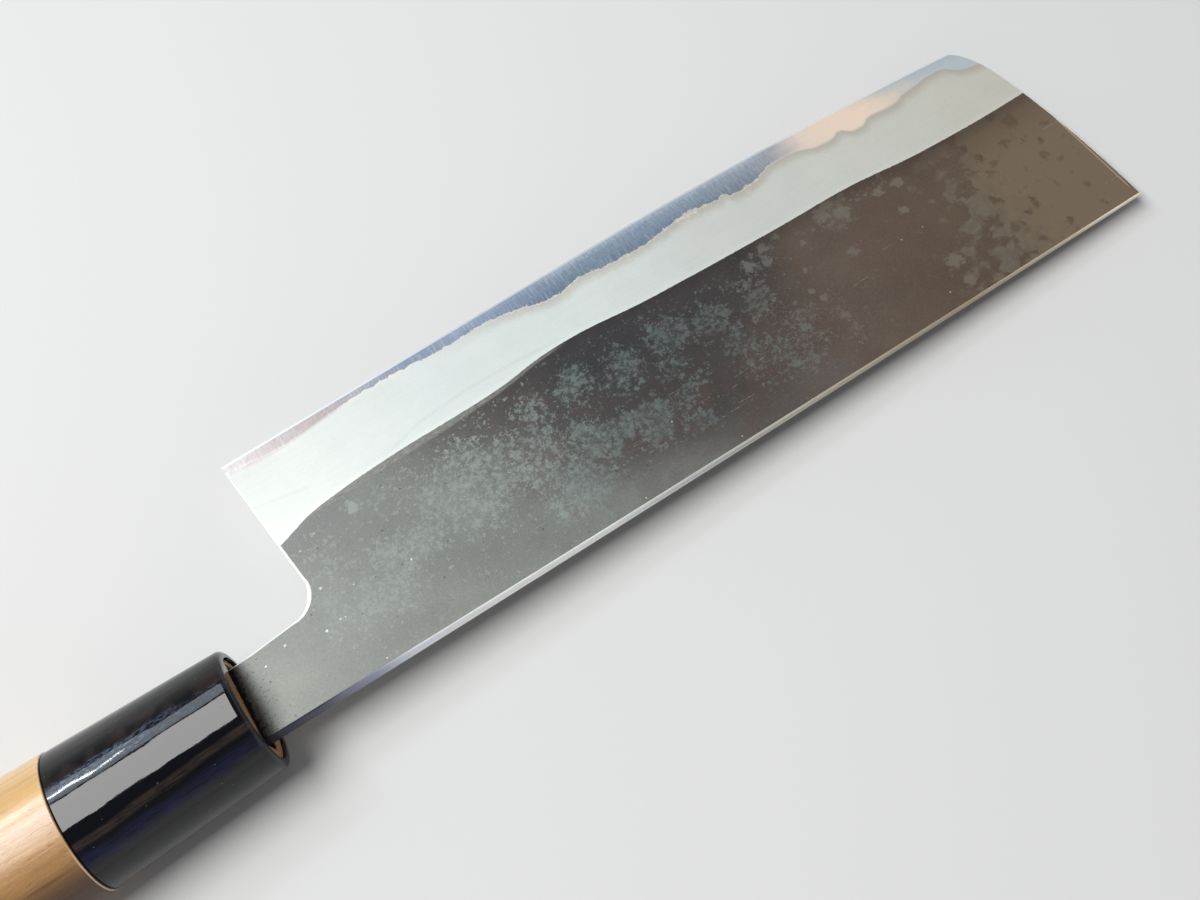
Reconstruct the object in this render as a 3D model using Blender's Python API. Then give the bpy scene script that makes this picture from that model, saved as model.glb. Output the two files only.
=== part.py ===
"""A vegetable knife with a forge-welded blade in three layers, a plastic ferrule and an oval wooden handle.

The knife is modelled in its own frame and then laid down on its right face, as it rests on a table. In its own frame
x runs along the spine to the tip, y from the spine to the cutting edge, and z out of the left face. The origin is on
the spine, below the heel. Sizes are in metres.
"""

import math

import bmesh
import bpy
from mathutils import Matrix, Vector
from mathutils.geometry import interpolate_bezier

mm = 0.001

# Blade, side view
SPINE_LENGTH = 161.9 * mm
SPINE_BOW = 0.35 * mm
HEEL_HEIGHT = 50.0 * mm
HEEL_OVERHANG = 5.9 * mm
EDGE_STRAIGHT = 70.0 * mm
EDGE_DROP = 4.6 * mm
TOE_LENGTH = 9.0 * mm
TOE_DEPTH = 9.3 * mm
TOE_EDGE_PULL = 2.7 * mm
TOE_FRONT_PULL = 5.1 * mm
FRONT_RAKE = 3.1 * mm
FRONT_BULGE = 0.9 * mm

# Neck and tang
NECK_CORNER_X = -1.7 * mm
NECK_HEIGHT = 16.1 * mm
NECK_RADIUS = 5.6 * mm
NECK_PULL = 2.5 * mm
TANG_HEIGHT_AT_MOUTH = 14.3 * mm
TANG_INSIDE = 84.0 * mm
TANG_END_HEIGHT = 6.0 * mm
TANG_END_THICKNESS = 2.0 * mm

# Blade, thickness
SPINE_THICKNESS_HEEL = 3.25 * mm
SPINE_THICKNESS_TIP = 1.15 * mm
NECK_THICKNESS = 3.4 * mm
FLANK_TAPER = 0.30 * mm
WELD_GAP = 0.01 * mm
SPINE_EASE = 0.2 * mm
NECK_EASE = 0.45 * mm
NOTCH_EASE = 1.1 * mm
STATION_STEP = 2.0 * mm
OUTLINE_STEP = 4.0 * mm
CURVE_STEPS = 9
TANG_STATIONS = 4
CUT_MARGIN = 4.0 * mm

# The ground bevel: distance along the spine from the heel, and the bevel's width there
BEVEL_WIDTHS = (
    (-6 * mm, 20.2 * mm),
    (6 * mm, 17.6 * mm),
    (20 * mm, 16.8 * mm),
    (43 * mm, 16.4 * mm),
    (58 * mm, 15.0 * mm),
    (78 * mm, 16.5 * mm),
    (104 * mm, 17.0 * mm),
    (120 * mm, 16.6 * mm),
    (136 * mm, 17.2 * mm),
    (162 * mm, 15.4 * mm),
)

# The weld line: distance along the spine from the heel, and the width of core steel that the bevel lays bare there
CORE_WIDTHS = (
    (-6 * mm, 1.6 * mm),
    (8 * mm, 3.0 * mm),
    (24 * mm, 2.1 * mm),
    (46 * mm, 2.5 * mm),
    (61 * mm, 4.9 * mm),
    (70 * mm, 4.3 * mm),
    (83 * mm, 5.3 * mm),
    (93 * mm, 4.2 * mm),
    (107 * mm, 6.0 * mm),
    (117 * mm, 4.0 * mm),
    (129 * mm, 5.6 * mm),
    (148 * mm, 3.4 * mm),
    (162 * mm, 4.4 * mm),
)

# The handle's own axis, which starts at the ferrule's rim and leans a little from the spine's line
RIM_X = -19.5 * mm
HANDLE_CENTRE_Y = 6.6 * mm
HANDLE_TILT = math.radians(0.8)
HANDLE_LENGTH = 128.0 * mm

# Ferrule
FERRULE_LENGTH = 32.8 * mm
FERRULE_FRONT_HEIGHT = 23.2 * mm
FERRULE_FRONT_THICKNESS = 21.2 * mm
FERRULE_REAR_HEIGHT = 26.0 * mm
FERRULE_REAR_THICKNESS = 20.6 * mm
FERRULE_WALL = 1.6 * mm
RIM_ROUND = 1.0 * mm

# Wood
BUTT_HEIGHT = 29.5 * mm
BUTT_THICKNESS = 23.6 * mm
BUTT_ROUND = 2.4 * mm
SWELL = 0.5 * mm
WOOD_PROUD = 0.15 * mm
JOINT_EASE = 0.35 * mm
MOUTH_RECESS = 0.6 * mm
FIT_CLEARANCE = 0.2 * mm
SLOT_CLEARANCE = 0.3 * mm
MOUTH_FLARE = 0.7 * mm
FLARE_DEPTH = 8.0 * mm
OVAL_SIDES = 72
ROUND_STEPS = 6
GRIP_STEPS = 12

MOUTH_X = RIM_X - MOUTH_RECESS
TANG_END_X = MOUTH_X - TANG_INSIDE
SLOT_END_X = TANG_END_X - SLOT_CLEARANCE


def smooth_value(points, x):
    """The height at x of a smooth curve through the given points, level beyond the first and the last."""
    if x <= points[0][0]:
        return points[0][1]
    if x >= points[-1][0]:
        return points[-1][1]
    i = max(k for k in range(len(points) - 1) if points[k][0] <= x)

    def slope(k):
        before, after = points[max(k - 1, 0)], points[min(k + 1, len(points) - 1)]
        return (after[1] - before[1]) / (after[0] - before[0])

    (x0, y0), (x1, y1) = points[i], points[i + 1]
    width = x1 - x0
    t = (x - x0) / width
    rise = (2 * t**3 - 3 * t**2 + 1) * y0 + (3 * t**2 - 2 * t**3) * y1
    bend = (t**3 - 2 * t**2 + t) * slope(i) + (t**3 - t**2) * slope(i + 1)
    return rise + bend * width


def edge_y(x):
    """The cutting edge: straight from the heel, then an arc that drops towards the toe."""
    run = SPINE_LENGTH - EDGE_STRAIGHT
    beyond = max(x - EDGE_STRAIGHT, 0) / run
    return HEEL_HEIGHT - EDGE_DROP * beyond**2


def edge_slope(x):
    """The slope of the cutting edge at x."""
    run = SPINE_LENGTH - EDGE_STRAIGHT
    return -2 * EDGE_DROP * max(x - EDGE_STRAIGHT, 0) / run**2


def spine_half(x):
    """Half the thickness at the spine: a straight distal taper on the blade, and a tang that thins to its end."""
    if x >= 0:
        share = x / SPINE_LENGTH
        return (SPINE_THICKNESS_HEEL + (SPINE_THICKNESS_TIP - SPINE_THICKNESS_HEEL) * share) / 2
    if x >= MOUTH_X:
        return (SPINE_THICKNESS_HEEL + (NECK_THICKNESS - SPINE_THICKNESS_HEEL) * x / MOUTH_X) / 2
    share = (x - MOUTH_X) / (TANG_END_X - MOUTH_X)
    return (NECK_THICKNESS + (TANG_END_THICKNESS - NECK_THICKNESS) * share) / 2


def flat_half(x, y):
    """Half the thickness on the flats, which thin evenly from the spine towards the edge."""
    return spine_half(x) - FLANK_TAPER / 2 * y / (HEEL_HEIGHT - BEVEL_WIDTHS[0][1])


def shinogi(x):
    """Where the flat meets the ground bevel at x: its y and half thickness."""
    y = edge_y(x) - smooth_value(BEVEL_WIDTHS, x)
    return y, flat_half(x, y)


def bevel_point(x, half):
    """The y at which the bevel at x is this thick on one side."""
    y, full = shinogi(x)
    return edge_y(x) - (edge_y(x) - y) * half / full


def core_half(x):
    """Half the thickness of the core layer, from the width of it that the bevel lays bare."""
    y, full = shinogi(x)
    return full * smooth_value(CORE_WIDTHS, x) / (edge_y(x) - y)


def stations():
    """Sections along the blade: one at each change of taper, and even steps between them."""
    ends = [TANG_END_X - CUT_MARGIN, MOUTH_X, 0, SPINE_LENGTH + CUT_MARGIN]
    steps = [TANG_STATIONS, round(-MOUTH_X / STATION_STEP), round(SPINE_LENGTH / STATION_STEP)]
    xs = [ends[0]]
    for start, end, count in zip(ends, ends[1:], steps):
        xs += [start + (end - start) * (i + 1) / count for i in range(count)]
    return xs


def core_section(x):
    """The core's section at x: a strip that ends in the cutting edge."""
    half = core_half(x) - WELD_GAP / 2
    y = bevel_point(x, half)
    return [
        (x, -CUT_MARGIN, half),
        (x, -CUT_MARGIN, -half),
        (x, y, -half),
        (x, edge_y(x), 0),
        (x, y, half),
    ]


def cladding_section(x, side):
    """A cladding's section at x, on the left side (1) or the right (-1)."""
    inner = core_half(x) + WELD_GAP / 2
    y, full = shinogi(x)
    corners = [
        (x, -CUT_MARGIN, flat_half(x, -CUT_MARGIN)),
        (x, -CUT_MARGIN, inner),
        (x, bevel_point(x, inner), inner),
        (x, y, full),
    ]
    if side > 0:
        return corners
    return [(px, py, -pz) for px, py, pz in reversed(corners)]


def loft(name, sections, collection):
    """A closed solid through sections of equally many corners."""
    mesh = bpy.data.meshes.new(name)
    bm = bmesh.new()
    rings = [[bm.verts.new(corner) for corner in section] for section in sections]
    count = len(rings[0])
    for ring, following in zip(rings, rings[1:]):
        for i in range(count):
            j = (i + 1) % count
            bm.faces.new((ring[i], following[i], following[j], ring[j]))
    bm.faces.new(rings[0])
    bm.faces.new(reversed(rings[-1]))
    bmesh.ops.triangulate(bm, faces=bm.faces)
    bmesh.ops.recalc_face_normals(bm, faces=bm.faces)
    bm.to_mesh(mesh)
    bm.free()
    made = bpy.data.objects.new(name, mesh)
    collection.objects.link(made)
    return made


def oval(x, half_height, half_thickness):
    """One ring of an oval section about the handle's axis, at x on that axis."""
    turns = (2 * math.pi * i / OVAL_SIDES for i in range(OVAL_SIDES))
    return [(x, half_height * math.cos(turn), half_thickness * math.sin(turn)) for turn in turns]


def rounded_end(x, half_height, half_thickness, radius, direction):
    """Rings that round an oval's end edge, from the full section to the end face at x."""
    rings = []
    for i in range(ROUND_STEPS + 1):
        turn = math.pi / 2 * i / ROUND_STEPS
        back = radius * (1 - math.sin(turn)) * direction
        inset = radius * (1 - math.cos(turn))
        rings.append(oval(x - back, half_height - inset, half_thickness - inset))
    return rings


def ferrule_half(x, inset=0.0):
    """Half height and half thickness of the ferrule's outside at x on the handle's axis, less an inset."""
    share = -x / FERRULE_LENGTH
    height = FERRULE_FRONT_HEIGHT + (FERRULE_REAR_HEIGHT - FERRULE_FRONT_HEIGHT) * share
    thickness = FERRULE_FRONT_THICKNESS + (FERRULE_REAR_THICKNESS - FERRULE_FRONT_THICKNESS) * share
    return height / 2 - inset, thickness / 2 - inset


def grip_half(x):
    """Half height and half thickness of the wood behind the ferrule, with a slight swell."""
    front = [half + WOOD_PROUD for half in ferrule_half(-FERRULE_LENGTH)]
    share = (-FERRULE_LENGTH - x) / (HANDLE_LENGTH - FERRULE_LENGTH)
    swell = SWELL * math.sin(math.pi * share)
    rear = (BUTT_HEIGHT / 2, BUTT_THICKNESS / 2)
    return [a + (b - a) * share + swell for a, b in zip(front, rear)]


def along(start, end, share, bulge=0.0):
    """A point part of the way from start to end, moved to the right of that direction."""
    start, end = Vector(start), Vector(end)
    way = end - start
    right = Vector((way.y, -way.x)).normalized()
    return start + way * share + right * bulge


def tang_corners(grow=0.0):
    """The tang's corners inside the handle: at the mouth and at its end, above and below."""
    middle = HANDLE_CENTRE_Y
    return {
        "mouth_top": Vector((MOUTH_X, TANG_HEIGHT_AT_MOUTH + grow)),
        "end_top": Vector((TANG_END_X - grow, middle + TANG_END_HEIGHT / 2 + grow)),
        "end_bottom": Vector((TANG_END_X - grow, middle - TANG_END_HEIGHT / 2 - grow)),
        "mouth_bottom": Vector((MOUTH_X, -grow)),
    }


def straight(start, end, ease):
    """Points from start up to end, with the width of the eased edge at each."""
    count = max(1, round((end - start).length / OUTLINE_STEP))
    return [(start.lerp(end, i / count), ease) for i in range(count)]


def bent(start, start_handle, end_handle, end, count, ease):
    """The same along a Bezier curve."""
    points = interpolate_bezier(start, start_handle, end_handle, end, count + 1)
    return [(point.to_2d(), ease) for point in points[:-1]]


def notch(corner, up, back):
    """The rounded corner between the heel and the neck, where the eased edge is widest in the middle."""
    bend_in, bend_out = corner + up * NECK_RADIUS, corner + back * NECK_RADIUS
    pulled = (bend_in - up * NECK_PULL, bend_out - back * NECK_PULL)
    points = bent(bend_in, *pulled, bend_out, CURVE_STEPS, NECK_EASE)
    swell = NOTCH_EASE - NECK_EASE
    return [(point, ease + swell * math.sin(math.pi * i / CURVE_STEPS)) for i, (point, ease) in enumerate(points)]


def blade_outline():
    """The blade's side view, anticlockwise from the tang's lower corner at the mouth.

    It runs clear of the cutting edge, which the sections already end at, and trims everything else.
    """
    tang = tang_corners()
    tip = Vector((SPINE_LENGTH, 0))
    front_top = Vector((SPINE_LENGTH - FRONT_RAKE, edge_y(SPINE_LENGTH) - TOE_DEPTH))
    front_pulls = [along(tip, front_top, share, FRONT_BULGE) for share in (1 / 3, 2 / 3)]
    rise = (front_top - front_pulls[1]).normalized()
    toe_x = SPINE_LENGTH - TOE_LENGTH
    toe = Vector((toe_x, edge_y(toe_x)))
    fall = Vector((1, edge_slope(toe_x))).normalized()
    clear_y = HEEL_HEIGHT + 2 * CUT_MARGIN
    above_toe = toe + fall * (clear_y - toe.y) / fall.y
    heel = Vector((-HEEL_OVERHANG, HEEL_HEIGHT))
    neck = Vector((NECK_CORNER_X, NECK_HEIGHT))
    up = (heel - neck).normalized()
    above_heel = neck + up * (clear_y - neck.y) / up.y
    back = (tang["mouth_top"] - neck).normalized()
    bow = Vector((0, -SPINE_BOW * 4 / 3))
    spine_pulls = [tang["mouth_bottom"].lerp(tip, share) + bow for share in (1 / 3, 2 / 3)]
    spine_steps = 4 * CURVE_STEPS
    return (
        bent(tang["mouth_bottom"], *spine_pulls, tip, spine_steps, SPINE_EASE)
        + bent(tip, *front_pulls, front_top, CURVE_STEPS, SPINE_EASE)
        + bent(
            front_top,
            front_top + rise * TOE_FRONT_PULL,
            toe + fall * TOE_EDGE_PULL,
            toe,
            CURVE_STEPS,
            SPINE_EASE,
        )
        + straight(toe, above_toe, SPINE_EASE)
        + straight(above_toe, above_heel, SPINE_EASE)
        + straight(above_heel, neck + up * NECK_RADIUS, NECK_EASE)
        + notch(neck, up, back)
        + straight(neck + back * NECK_RADIUS, tang["mouth_top"], NECK_EASE)
        + straight(tang["mouth_top"], tang["end_top"], SPINE_EASE)
        + straight(tang["end_top"], tang["end_bottom"], SPINE_EASE)
        + straight(tang["end_bottom"], tang["mouth_bottom"], SPINE_EASE)
    )


def half_at(x, y):
    """Half the blade's thickness anywhere: the flat, the bevel, or nothing beyond the edge."""
    bevel_y, bevel_half = shinogi(x)
    if y <= bevel_y:
        return flat_half(x, y)
    return bevel_half * max(0, (edge_y(x) - y) / (edge_y(x) - bevel_y))


def trimming_sections():
    """Sections of the tool that trims the blade and eases its edges by a narrow slope on each side."""
    points = blade_outline()
    rings = [[], [], [], [], [], []]
    least = SPINE_EASE / 4
    for i, (point, ease) in enumerate(points):
        before = (point - points[i - 1][0]).normalized()
        after = (points[(i + 1) % len(points)][0] - point).normalized()
        inward = Vector((-before.y - after.y, before.x + after.x)).normalized()
        miter = inward / inward.dot(Vector((-after.y, after.x)))
        wall = max(half_at(*point) - ease, least)
        inset = point + miter * (ease + SPINE_EASE)
        height = wall + ease + SPINE_EASE
        levels = ((inset, CUT_MARGIN), (inset, height), (point, wall))
        for ring, (place, height) in zip(rings, levels):
            ring.append((*place, height))
        for ring, (place, height) in zip(reversed(rings), levels):
            ring.append((*place, -height))
    return rings


def slot_section(x, share, grow):
    """One section of the tang's slot, a rectangle that clears the tang all round."""
    corners = tang_corners(grow)
    top = corners["mouth_top"].lerp(corners["end_top"], share).y
    bottom = corners["mouth_bottom"].lerp(corners["end_bottom"], share).y
    half = spine_half(max(x, TANG_END_X)) + grow
    return [(x, bottom, -half), (x, top, -half), (x, top, half), (x, bottom, half)]


def make_blade(parts, cutters):
    """The three layers, lofted along the blade and trimmed to one outline."""
    xs = stations()
    trim = loft("blade_trim", trimming_sections(), cutters)
    core = loft("core_steel", [core_section(x) for x in xs], parts)
    left = loft("left_cladding", [cladding_section(x, 1) for x in xs], parts)
    right = loft("right_cladding", [cladding_section(x, -1) for x in xs], parts)
    for layer in (core, left, right):
        cut(layer, trim, "INTERSECT")
    return core, left, right, trim


def make_ferrule(parts, cutters):
    """A tapered oval collar with a rounded rim, open from end to end."""
    rings = [oval(-FERRULE_LENGTH, *ferrule_half(-FERRULE_LENGTH))]
    rings += rounded_end(0, *ferrule_half(0), RIM_ROUND, 1)
    ferrule = loft("ferrule", rings, parts)
    bore_ends = (-FERRULE_LENGTH - CUT_MARGIN, CUT_MARGIN)
    bore = loft("ferrule_bore", [oval(x, *ferrule_half(x, FERRULE_WALL)) for x in bore_ends], cutters)
    cut(ferrule, bore, "DIFFERENCE")
    return ferrule, bore


def make_handle(parts, cutters):
    """The grip and its tenon in one piece of wood, with the slot for the tang."""
    inset = FERRULE_WALL + FIT_CLEARANCE
    shoulder = -FERRULE_LENGTH - FIT_CLEARANCE
    butt = -HANDLE_LENGTH
    rings = rounded_end(butt, *grip_half(butt), BUTT_ROUND, -1)
    rings.reverse()
    start, end = butt + BUTT_ROUND, shoulder - JOINT_EASE
    for i in range(1, GRIP_STEPS):
        x = start + (end - start) * i / GRIP_STEPS
        rings.append(oval(x, *grip_half(x)))
    rings += rounded_end(shoulder, *grip_half(shoulder), JOINT_EASE, 1)
    rings.append(oval(shoulder, *ferrule_half(shoulder, inset)))
    rings.append(oval(-MOUTH_RECESS, *ferrule_half(-MOUTH_RECESS, inset)))
    handle = loft("handle", rings, parts)
    flare = SLOT_CLEARANCE + MOUTH_FLARE
    slot = loft(
        "tang_slot",
        [
            slot_section(SLOT_END_X, 1.0, SLOT_CLEARANCE),
            slot_section(MOUTH_X - FLARE_DEPTH, FLARE_DEPTH / TANG_INSIDE, SLOT_CLEARANCE),
            slot_section(MOUTH_X, 0.0, flare),
            slot_section(MOUTH_X + CUT_MARGIN, -CUT_MARGIN / TANG_INSIDE, flare),
        ],
        cutters,
    )
    cut(handle, slot, "DIFFERENCE")
    return handle, slot


def cut(target, tool, operation):
    """Trims one piece by another with a Boolean."""
    modifier = target.modifiers.new(operation.lower(), "BOOLEAN")
    modifier.operation = operation
    modifier.object = tool
    modifier.solver = "EXACT"


def finish(name, colour, roughness, metallic):
    """A plain material for one sub-part."""
    material = bpy.data.materials.new(name)
    material.use_nodes = True
    shader = material.node_tree.nodes["Principled BSDF"]
    shader.inputs["Base Color"].default_value = (*colour, 1)
    shader.inputs["Roughness"].default_value = roughness
    shader.inputs["Metallic"].default_value = metallic
    return material


def empty(name, parent=None):
    """An empty that carries pieces, at its parent's origin until it is placed."""
    made = bpy.data.objects.new(name, None)
    bpy.context.scene.collection.objects.link(made)
    made.parent = parent
    return made


def resting_normal():
    """The upward direction, in the knife's own frame, when it lies on the butt and on the blade's front end."""
    turn = Matrix.Rotation(HANDLE_TILT, 3, "Z")
    butt_x = BUTT_ROUND - HANDLE_LENGTH
    axis_origin = Vector((RIM_X, HANDLE_CENTRE_Y, 0))
    butt = axis_origin + turn @ Vector((butt_x, 0, -grip_half(butt_x)[1]))
    spine_tip = Vector((SPINE_LENGTH, 0, -spine_half(SPINE_LENGTH)))
    y, half = shinogi(SPINE_LENGTH)
    bevel_tip = Vector((SPINE_LENGTH - FRONT_RAKE, y, -half))
    return (spine_tip - butt).cross(bevel_tip - spine_tip).normalized()


def lay_down(knife, pieces):
    """Turns the knife so that it rests on its right side, with the origin below the middle of its box."""
    knife.rotation_mode = "QUATERNION"
    knife.rotation_quaternion = resting_normal().rotation_difference(Vector((0, 0, 1)))
    bpy.context.view_layer.update()
    graph = bpy.context.evaluated_depsgraph_get()
    corners = []
    for piece in pieces:
        shape = piece.evaluated_get(graph)
        corners += [shape.matrix_world @ vertex.co for vertex in shape.data.vertices]
    low = Vector([min(corner[axis] for corner in corners) for axis in range(3)])
    high = Vector([max(corner[axis] for corner in corners) for axis in range(3)])
    knife.location = (-(low.x + high.x) / 2, -(low.y + high.y) / 2, -low.z)


def main():
    for old in list(bpy.data.objects):
        bpy.data.objects.remove(old)
    parts = bpy.data.collections.new("kitchen_knife")
    cutters = bpy.data.collections.new("cutters")
    for collection in (parts, cutters):
        bpy.context.scene.collection.children.link(collection)
    knife = empty("knife_lying")
    axis = empty("handle_axis", knife)
    axis.location = (RIM_X, HANDLE_CENTRE_Y, 0)
    axis.rotation_euler.z = HANDLE_TILT
    core, left, right, trim = make_blade(parts, cutters)
    ferrule, bore = make_ferrule(parts, cutters)
    handle, slot = make_handle(parts, cutters)
    for piece in (core, left, right, trim, slot):
        piece.parent = knife
    for piece in (ferrule, bore, handle):
        piece.parent = axis
    for tool in (trim, bore, slot):
        tool.hide_render = True
        tool.display_type = "WIRE"
    forge_scale = finish("forge_scale", (0.10, 0.09, 0.08), 0.42, 0.7)
    core.data.materials.append(finish("core_steel", (0.42, 0.45, 0.52), 0.22, 1.0))
    left.data.materials.append(forge_scale)
    right.data.materials.append(forge_scale)
    ferrule.data.materials.append(finish("black_plastic", (0.01, 0.01, 0.012), 0.12, 0.0))
    handle.data.materials.append(finish("pale_wood", (0.66, 0.45, 0.24), 0.45, 0.0))
    for piece in (ferrule, handle):
        piece.data.shade_smooth()
        piece.data.set_sharp_from_angle(angle=math.radians(35))
    lay_down(knife, (core, left, right, ferrule, handle))


main()
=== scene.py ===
"""Finishes for a forge-welded vegetable knife, its plastic ferrule and wooden handle, and its stage."""

import math

import bpy
from bpy.props import FloatProperty, FloatVectorProperty, PointerProperty
from mathutils import Matrix, Vector

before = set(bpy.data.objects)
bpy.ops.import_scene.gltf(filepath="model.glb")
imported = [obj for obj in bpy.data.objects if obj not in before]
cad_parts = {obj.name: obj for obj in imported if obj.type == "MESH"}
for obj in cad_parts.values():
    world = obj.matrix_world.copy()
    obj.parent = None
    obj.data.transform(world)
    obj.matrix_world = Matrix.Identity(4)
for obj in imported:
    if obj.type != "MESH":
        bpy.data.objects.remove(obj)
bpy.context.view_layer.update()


bl_info = {
    "name": "Vegetable Knife Looks",
    "version": (1, 0, 0),
    "blender": (4, 5, 0),
    "location": "3D View > Sidebar > Knife",
    "description": "Finishes a vegetable knife's blade, ferrule and handle, and sets its stage",
    "category": "Object",
}

mm = 0.001

# The knife's own frame: x along the spine to the tip, y from the spine to the edge, z out of the left face
HEEL = Vector((-7.01, -20.06, 9.90)) * mm
TIP_DIPS = math.radians(2.103)
EDGE_DIPS = math.radians(0.506)
UPWARD = Vector((-math.tan(TIP_DIPS), -math.tan(EDGE_DIPS), 1)).normalized()
LYING = UPWARD.rotation_difference(Vector((0, 0, 1))).to_matrix()

# The handle's own frame starts at the ferrule's rim, in mm along the spine and across it
RIM = (-19.5, 6.6)
HANDLE_TILT = math.radians(0.8)
FERRULE_LENGTH = 32.8

# The tang at the handle's mouth, in mm: how far its sides are from the spine's line, and half its thickness
TANG_FAR, TANG_NEAR, TANG_HALF = 14.3, 0.0, 1.7

# Where the wood turns into the end grain at the mouth, in mm from the ferrule's rim
MOUTH = (-6.0, -1.5)

# The cutting edge, in mm: straight from the heel, then dropping towards the toe
HEEL_HEIGHT = 50.0
EDGE_STRAIGHT = 70.0
EDGE_RUN = 91.9
EDGE_DROP = 4.6

# The ground bevel: mm along the spine, and the bevel's width there
BEVEL_WIDTHS = (
    (-6, 21.8), (0, 19.7), (6, 18.0), (20, 16.8), (43, 16.4), (58, 15.0),
    (78, 16.5), (104, 17.0), (120, 16.6), (136, 17.2), (162, 15.4),
)

# The weld line: mm along the spine, and the width of core steel laid bare there
CORE_WIDTHS = (
    (-6, 1.4), (4, 3.0), (15, 2.3), (25, 1.7), (33, 2.0), (41, 2.7), (46, 2.5), (55, 3.6),
    (60, 5.1), (64, 5.5), (68, 4.7), (74, 5.4), (80, 5.7), (86, 5.3), (93, 4.6), (98, 5.0),
    (99.6, 5.1), (100.4, 4.4), (101.4, 5.6), (103, 5.9), (108, 5.4), (114, 3.8), (119, 4.5),
    (123, 5.4), (125, 5.3), (126.3, 4.5), (128, 5.5), (130, 6.0), (132, 5.4), (134, 4.7),
    (137, 4.9), (141, 3.9), (145, 3.2), (150, 2.5), (152, 3.3), (154, 4.7), (158, 5.2), (162, 5.2),
)


def linear(share):
    """The linear value of a display value, both from 0 to 1."""
    return share / 12.92 if share <= 0.04045 else ((share + 0.055) / 1.055) ** 2.4


def tone(red, green, blue):
    """A colour from its display values, 0 to 255."""
    return tuple(linear(value / 255) for value in (red, green, blue))


class Value:
    """A number that varies over a surface. Python's operators on it add Math nodes."""

    def __init__(self, sheet, socket):
        self.sheet, self.socket = sheet, socket

    def maths(self, operation, *terms):
        return self.sheet.node("ShaderNodeMath", {"operation": operation}, dict(enumerate(terms)))

    def __add__(self, other):
        return self.maths("ADD", self, other)

    def __radd__(self, other):
        return self.maths("ADD", other, self)

    def __sub__(self, other):
        return self.maths("SUBTRACT", self, other)

    def __rsub__(self, other):
        return self.maths("SUBTRACT", other, self)

    def __mul__(self, other):
        return self.maths("MULTIPLY", self, other)

    def __rmul__(self, other):
        return self.maths("MULTIPLY", other, self)

    def __truediv__(self, other):
        return self.maths("DIVIDE", self, other)

    def __rtruediv__(self, other):
        return self.maths("DIVIDE", other, self)

    def __pow__(self, other):
        return self.maths("POWER", self, other)

    def __abs__(self):
        return self.maths("ABSOLUTE", self)

    def least(self, other):
        return self.maths("MINIMUM", self, other)

    def most(self, other):
        return self.maths("MAXIMUM", self, other)

    def rises(self, start, end):
        """0 below start and 1 above end, smooth between; it falls instead where end is the lower one."""
        limits = {"Value": self, "From Min": start, "From Max": end, "To Min": 0.0, "To Max": 1.0}
        return self.sheet.node("ShaderNodeMapRange", {"interpolation_type": "SMOOTHSTEP"}, limits)

    def between(self, start, end, soft):
        """1 from start to end, fading to 0 over a soft stretch outside each."""
        return self.rises(start - soft, start) * self.rises(end + soft, end)


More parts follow.
